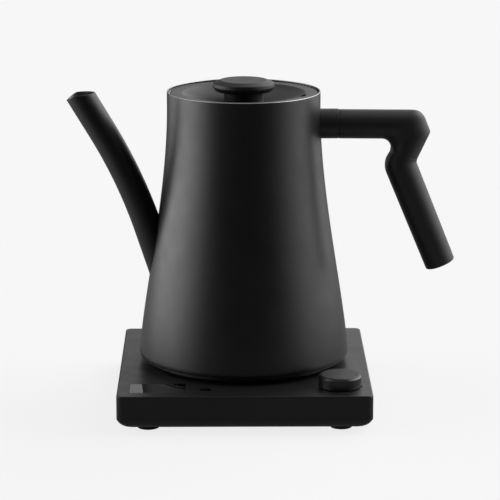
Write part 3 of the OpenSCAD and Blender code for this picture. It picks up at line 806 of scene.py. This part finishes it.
def build_grip():
    """The handle is built from an outer and an inner outline in its plane, joined by oval rings."""
    back_lean, grip_lean = 21.7, 22.3
    arm_r, elbow_r, kink_r, end_r = 9.4 * MM, 9.6 * MM, 10.3 * MM, 9.8 * MM
    bend_r = 3.5 * MM
    elbow = (106.3 * MM, ARM_H - ARM_DROP - bend_r)
    b, g = math.radians(back_lean), math.radians(grip_lean)
    back_len = 22 * MM
    back_start = (elbow[0] + bend_r * math.cos(b), elbow[1] - bend_r * math.sin(b))
    back_end = (back_start[0] - back_len * math.sin(b), back_start[1] - back_len * math.cos(b))
    kink = (back_end[0] + bend_r * math.cos(b), back_end[1] - bend_r * math.sin(b))
    grip_start = (kink[0] - bend_r * math.cos(g), kink[1] - bend_r * math.sin(g))
    grip_len = 69.4 * MM

    def beside(point, lean, offset):
        """A point set off square to a segment that leans by lean, towards +X when positive."""
        return (point[0] + offset * math.cos(lean), point[1] + offset * math.sin(lean))

    inner_r = 6 * MM
    arm_top, arm_low = ARM_H + arm_r, ARM_H - arm_r
    elbow_low = arm_low - 0.2 * MM
    slope = math.tan(b)
    back_side = beside(back_start, -b, -elbow_r)
    corner_x = back_side[0] - (back_side[1] - elbow_low) * slope
    tangent = inner_r * math.tan(math.radians(90 + back_lean) / 2)
    fillet_c = (corner_x - tangent, elbow_low - inner_r)
    fillet = arc(fillet_c, inner_r, 90, -back_lean)
    grip_in = beside(grip_start, g, -kink_r)
    grip_out = beside(grip_start, g, kink_r)

    def along(point, length):
        return (point[0] + length * math.sin(g), point[1] - length * math.cos(g))

    # the elbow's outside has a short facet that leans as the grip does and ends in a blunt tip
    tip = (120.1 * MM, 150.3 * MM)
    elbow_top = ARM_H + arm_r - 0.4 * MM
    tip_lean = math.radians(25.1)
    shoulder = (tip[0] - (elbow_top - tip[1]) * math.tan(g), elbow_top)
    toward_kink = Vector((-math.sin(tip_lean), -math.cos(tip_lean)))
    down_grip = Vector((math.sin(g), -math.cos(g)))
    gap = Vector(grip_out) - Vector(tip)
    crook = Vector(tip) + toward_kink * (gap.cross(down_grip) / toward_kink.cross(down_grip))
    crook_r = 4 * MM
    lower = 12 * MM
    outer_line = rounded([(ARM_START, arm_top, 0), (*shoulder, 8.2 * MM), (*tip, 2.6 * MM),
                          (*crook, crook_r), (*along(grip_out, lower), 0)], 9, closed=False)
    inner_line = fillet + arc(kink, bend_r + kink_r, 180 - back_lean, 180 + grip_lean)
    inner_line.append(along(grip_in, lower))

    def hit(origin, angle, line):
        """Where a ray from origin first meets a polyline."""
        origin = Vector(origin)
        ray = Vector((math.cos(math.radians(angle)), math.sin(math.radians(angle))))
        best = None
        for p, q in zip(line, line[1:]):
            p, side = Vector(p), Vector(q) - Vector(p)
            denominator = ray.cross(side)
            if abs(denominator) < 1e-12:
                continue
            reach = (p - origin).cross(side) / denominator
            share = (p - origin).cross(ray) / denominator
            if reach > 0 and -1e-9 <= share <= 1 + 1e-9 and (best is None or reach < best):
                best = reach
        return tuple(origin + ray * best)

    sections = []
    arm_count = 12
    for k in range(arm_count):
        x = ARM_START + (fillet_c[0] - ARM_START) * k / arm_count
        top = arm_top + (elbow_top - arm_top) * (x - ARM_START) / (shoulder[0] - ARM_START)
        sections.append(((x, top), (x, arm_low - 0.2 * MM * k / arm_count), arm_r))
    count = 56
    for k in range(count + 1):
        angle = 90 - (90 + back_lean) * k / count
        turn = math.radians(angle)
        inside = (fillet_c[0] + inner_r * math.cos(turn), fillet_c[1] + inner_r * math.sin(turn))
        sections.append((hit(fillet_c, angle, outer_line), inside,
                         arm_r + (elbow_r - arm_r) * k / count))
    half_turn = (math.degrees(tip_lean) + grip_lean) / 2
    middle_angle = 180 - math.degrees(tip_lean) + half_turn
    crook_c = crook - crook_r / math.cos(math.radians(half_turn)) * Vector(
        (math.cos(math.radians(middle_angle)), math.sin(math.radians(middle_angle))))
    first, last = 180 - math.degrees(tip_lean) + 0.5, 180 + grip_lean
    count = 18
    back_pair = sections[-1]
    kink_pairs = []
    for k in range(count + 1):
        angle = first + (last - first) * k / count
        kink_pairs.append((hit(crook_c, angle, outer_line), hit(crook_c, angle, inner_line),
                           elbow_r + (kink_r - elbow_r) * (0.4 + 0.6 * k / count)))
    straight_count = 6
    for k in range(1, straight_count):
        share = k / straight_count
        outer, inner = (tuple(Vector(back_pair[i]).lerp(Vector(kink_pairs[0][i]), share))
                        for i in (0, 1))
        sections.append((outer, inner, elbow_r + 0.4 * (kink_r - elbow_r) * share))
    sections += kink_pairs
    start_len = (Vector(kink_pairs[-1][0]) - Vector(grip_out)).dot(down_grip)
    round_r = 1.2 * MM
    count = 14
    for k in range(1, count + 1):
        run = start_len + (grip_len - round_r - start_len) * k / count
        r = kink_r + (end_r - kink_r) * run / grip_len
        centre = along(grip_start, run)
        sections.append((beside(centre, g, r), beside(centre, g, -r), r))
    for k in range(1, 6):
        a = math.radians(90 * k / 5)
        run = grip_len - round_r + round_r * math.sin(a)
        r = end_r - round_r + round_r * math.cos(a)
        centre = along(grip_start, run)
        sections.append((beside(centre, g, r), beside(centre, g, -r), r))

    segments = 72
    verts, rings = [], []

    def oval(outer, inner, depth):
        outer, inner = Vector(outer), Vector(inner)
        middle, half_chord = (outer + inner) / 2, (outer - inner) / 2
        rings.append(list(range(len(verts), len(verts) + segments)))
        for k in range(segments):
            a = math.tau * k / segments
            p = middle + half_chord * math.cos(a)
            verts.append(on_kettle(p.x, depth * math.sin(a), p.y))

    first_outer, first_inner = Vector(sections[0][0]), Vector(sections[0][1])
    middle = (first_outer + first_inner) / 2
    for r in (CORE_HOLE_R, arm_r - 0.3 * MM):
        oval((middle.x, middle.y + r), (middle.x, middle.y - r), r)
    for share, back in ((0.985, 0.08 * MM), (1, 0.3 * MM)):
        r = arm_r * share
        oval((middle.x + back, middle.y + r), (middle.x + back, middle.y - r), r)
    for outer, inner, depth in sections[1:]:
        oval(outer, inner, depth)
    recess_r, recess = 7.45 * MM, 0.35 * MM
    centre = along(grip_start, grip_len)
    oval(beside(centre, g, recess_r), beside(centre, g, -recess_r), recess_r)
    centre = along(grip_start, grip_len - recess)
    oval(beside(centre, g, recess_r), beside(centre, g, -recess_r), recess_r)
    rings.append([len(verts)])
    verts.append(on_kettle(centre[0], 0, centre[1]))
    faces = join_rings(rings, False)
    faces.append(tuple(rings[0]))
    grip = add_object("handle_grip_bar", verts, faces)
    dress(grip, "kettle", "soft_black_grip", "handle_grip", crease=38)

    cap_r = 7.35 * MM
    cap_t = 2.4 * MM
    outline = rounded([(0, -cap_t, 0), (cap_r, -cap_t, 0), (cap_r, 0, 0.3 * MM), (0, 0, 0)])
    cap = lathe("handle_end_plug", outline, Vector((0, 0, 0)), 96)
    end_x, end_h = along(grip_start, grip_len)
    cap.data.transform(Matrix.Translation(on_kettle(end_x, 0, end_h))
                       @ Matrix.Rotation(math.pi - g, 4, "Y"))
    dress(cap, "kettle", "soft_black_grip", "handle_end_cap")


# ---------------------------------------------------------------- lid

def build_lid():
    lid_r = (lid_high.x - lid_low.x) / 2
    dish_r, depth, sheet, bowl = 40 * MM, 6.5 * MM, 0.8 * MM, 2.4
    dish_z = flange_z - depth

    def dish(r):
        return dish_z + depth * (r / dish_r) ** bowl

    steps = 40
    hole = 4.4 * MM
    radii = [hole + (dish_r - hole) * k / steps for k in range(steps + 1)]
    outline = [(r, dish(r)) for r in radii]
    outline += rounded([(dish_r, flange_z, 0), (lid_r, flange_z, 0.3 * MM),
                        (lid_r, flange_z - sheet, 0.3 * MM), (dish_r, flange_z - sheet, 0)],
                       closed=False)[1:]
    outline += [(r, dish(r) - sheet) for r in reversed(radii)][1:]
    plate = lathe("lid_plate", outline, kettle_axis, 256)
    slot_angle, slot_at = math.radians(-19), 39.5 * MM
    slot_half, slot_r = 2.8 * MM, 1.9 * MM
    outward = Vector((math.cos(slot_angle), math.sin(slot_angle), 0))
    along = Vector((-outward.y, outward.x, 0))
    slot_c = Vector((kettle_axis.x, kettle_axis.y, flange_z - 3 * MM)) + outward * slot_at
    verts, rings, segments = [], [], 48
    for z in (-MM, 5 * MM):
        rings.append([])
        for k in range(segments):
            a = math.tau * k / segments
            end = math.copysign(slot_half, math.sin(a))
            round_end = slot_r * (outward * math.cos(a) + along * math.sin(a))
            rings[-1].append(len(verts))
            verts.append(slot_c + along * end + round_end + Vector((0, 0, z)))
    faces = join_rings(rings, False) + [tuple(reversed(rings[0])), tuple(rings[1])]
    cut(plate, add_object("vent_cutter", verts, faces))

    def on_slot(vertex):
        off = Vector((vertex.co.x - slot_c.x, vertex.co.y - slot_c.y, 0))
        end = max(-slot_half, min(slot_half, off.dot(along)))
        return (off - along * end).length < slot_r + 0.03 * MM

    place(plate, "lid", materials["dished_coat"], "black_coated_steel", "lid_dish", crease=38)
    # painted shade: the vent slot's walls get the darker painted-shade black so the hole reads dark
    refinish(plate, "painted_shade_coat", on_slot)

    low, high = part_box("knob_stem")
    stem_r = (high.x - low.x) / 2
    foot = dish(stem_r) + 0.05 * MM
    screw_hole_r, grooves = 2.3 * MM, 4
    outline = [(screw_hole_r, foot - 0.3 * MM), (stem_r - 0.4 * MM, foot - 0.3 * MM),
               (stem_r, foot)]
    pitch = (high.z - foot) / (grooves + 0.5)
    for k in range(grooves):
        z = foot + pitch * (k + 0.7)
        outline += [(stem_r, z - 0.28 * MM), (stem_r - 0.22 * MM, z - 0.1 * MM),
                    (stem_r - 0.22 * MM, z + 0.1 * MM), (stem_r, z + 0.28 * MM)]
    outline += [(stem_r, high.z), (screw_hole_r, high.z)]
    dress(lathe("knob_collar", outline, kettle_axis, 160), "lid", "black_plastic", "knob_stem")

    low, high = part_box("lid_knob")
    r, top = (high.x - low.x) / 2, high.z
    under = low.z
    outline = rounded([(0, under + MM, 0), (stem_r - 1.4 * MM, under + MM, 0),
                       (stem_r - 1.4 * MM, under, 0.1 * MM), (stem_r + 0.2 * MM, under, 0.3 * MM),
                       (r - 1.9 * MM, top - 7 * MM, 2.6 * MM), (r, top - 4.2 * MM, 1.6 * MM),
                       (r - 0.5 * MM, top - 1.7 * MM, 1.0 * MM), (14.9 * MM, top, 0.45 * MM),
                       (0, top - 0.12 * MM, 0)], steps=7)
    dress(lathe("knob_head", outline, kettle_axis, 192), "lid", "black_plastic", "lid_knob",
          crease=50)


build_base_cover()
build_base_tray()
build_feet()
build_windows()
build_cord_bush()
build_dial()
build_shell()
build_bottom_cover()
build_spout()
build_bracket()
build_grip()
build_lid()


# ---------------------------------------------------------------- studio

# middle and half width in degrees from the camera's side, softness, lowest and highest elevation,
# softness in height, strength
ROOM_LIGHT = [(-97, 32, 22, -45, 8, 10, 4.2),
              (-97, 32, 22, 8, 62, 12, 1.6),
              (103, 38, 26, -30, 18, 10, 1.8),
              (113, 32, 26, 18, 64, 10, 3.9),
              (160, 17, 26, 2, 50, 12, 1.65),
              (0, 180, 1, 66, 90, 8, 0.5)]
ROOM_FILL = 0.035
BACKDROP = 0.93
FLOOR_GLOW = (0.16, 0.81)  # as it shines on the object, as the camera sees it


def build_world():
    """Soft light from the left, right, back and top of a dark room. The camera sees it pale."""
    world = bpy.data.worlds.new("studio")
    world.use_nodes = True
    tree = world.node_tree
    tree.nodes.clear()

    def math_node(operation, *values):
        node = tree.nodes.new("ShaderNodeMath")
        node.operation = operation
        for socket, value in zip(node.inputs, values):
            if isinstance(value, (int, float)):
                socket.default_value = value
            else:
                tree.links.new(value, socket)
        return node.outputs[0]

    def smooth(value, start, end):
        node = tree.nodes.new("ShaderNodeMapRange")
        node.interpolation_type = "SMOOTHSTEP"
        node.inputs["From Min"].default_value = start
        node.inputs["From Max"].default_value = end
        tree.links.new(value, node.inputs["Value"])
        return node.outputs["Result"]

    direction = tree.nodes.new("ShaderNodeTexCoord").outputs["Generated"]
    axes = tree.nodes.new("ShaderNodeSeparateXYZ")
    tree.links.new(direction, axes.inputs[0])
    x, y, z = axes.outputs
    azimuth = math_node("DEGREES", math_node("ARCTAN2", x, math_node("MULTIPLY", y, -1.0)))
    height = math_node("DEGREES", math_node("ARCSINE", z))

    def lobe(middle, half_width, soft, low, high, soft_height, strength):
        off = math_node("ABSOLUTE", math_node("SUBTRACT", azimuth, float(middle)))
        off = math_node("MINIMUM", off, math_node("SUBTRACT", 360.0, off))
        across = smooth(off, half_width + soft, half_width - soft)
        up = math_node("MULTIPLY", smooth(height, low - soft_height, low + soft_height),
                       smooth(height, high + soft_height, high - soft_height))
        return math_node("MULTIPLY", math_node("MULTIPLY", across, up), strength)

    total = None
    for values in ROOM_LIGHT:
        part = lobe(*values)
        total = part if total is None else math_node("ADD", total, part)
    total = math_node("ADD", total, ROOM_FILL)
    seen = tree.nodes.new("ShaderNodeLightPath").outputs["Is Camera Ray"]
    mix = tree.nodes.new("ShaderNodeMix")
    tree.links.new(seen, mix.inputs["Factor"])
    tree.links.new(total, mix.inputs["A"])
    mix.inputs["B"].default_value = BACKDROP
    background = tree.nodes.new("ShaderNodeBackground")
    tree.links.new(mix.outputs["Result"], background.inputs["Color"])
    output = tree.nodes.new("ShaderNodeOutputWorld")
    tree.links.new(background.outputs[0], output.inputs["Surface"])
    bpy.context.scene.world = world


def build_studio():
    """A pale floor. It looks brighter to the camera than it shines on the object."""
    side, front, rear = 0.5, -0.36, 0.7
    floor = add_object("floor", [(-side, front, 0), (side, front, 0), (side, rear, 0),
                                 (-side, rear, 0)], [(0, 1, 2, 3)])
    material, tree, shader = new_material("pale_floor")
    shader.inputs["Base Color"].default_value = (0.12, 0.12, 0.12, 1)
    shader.inputs["Roughness"].default_value = 0.9
    shader.inputs["Specular IOR Level"].default_value = 0.0
    shader.inputs["Emission Color"].default_value = (1, 1, 1, 1)
    seen = tree.nodes.new("ShaderNodeLightPath").outputs["Is Camera Ray"]
    tree.links.new(spread(tree, seen, FLOOR_GLOW[0], FLOOR_GLOW[1], 0, 1),
                   shader.inputs["Emission Strength"])
    floor.data.materials.append(material)


def build_camera():
    """A camera at the photograph's viewing angle: in front, a little to the left, looking down."""
    yaw, pitch = math.radians(0.553), math.radians(12.952)
    forward = Vector((math.sin(yaw) * math.cos(pitch), math.cos(yaw) * math.cos(pitch),
                      -math.sin(pitch)))
    camera_data = bpy.data.cameras.new("camera")
    camera_data.sensor_width = 36
    camera_data.lens = 181.86
    camera_data.clip_start, camera_data.clip_end = 0.05, 50
    camera = bpy.data.objects.new("camera", camera_data)
    aside, away, height = -0.01137, -1.59003, 0.46381
    camera.location = (base_mid.x + aside, away, height)
    camera.rotation_mode = "QUATERNION"
    camera.rotation_quaternion = forward.to_track_quat("-Z", "Y")
    bpy.context.scene.collection.objects.link(camera)
    bpy.context.scene.camera = camera


build_world()
build_studio()
build_camera()
bpy.context.scene.view_settings.view_transform = "Standard"
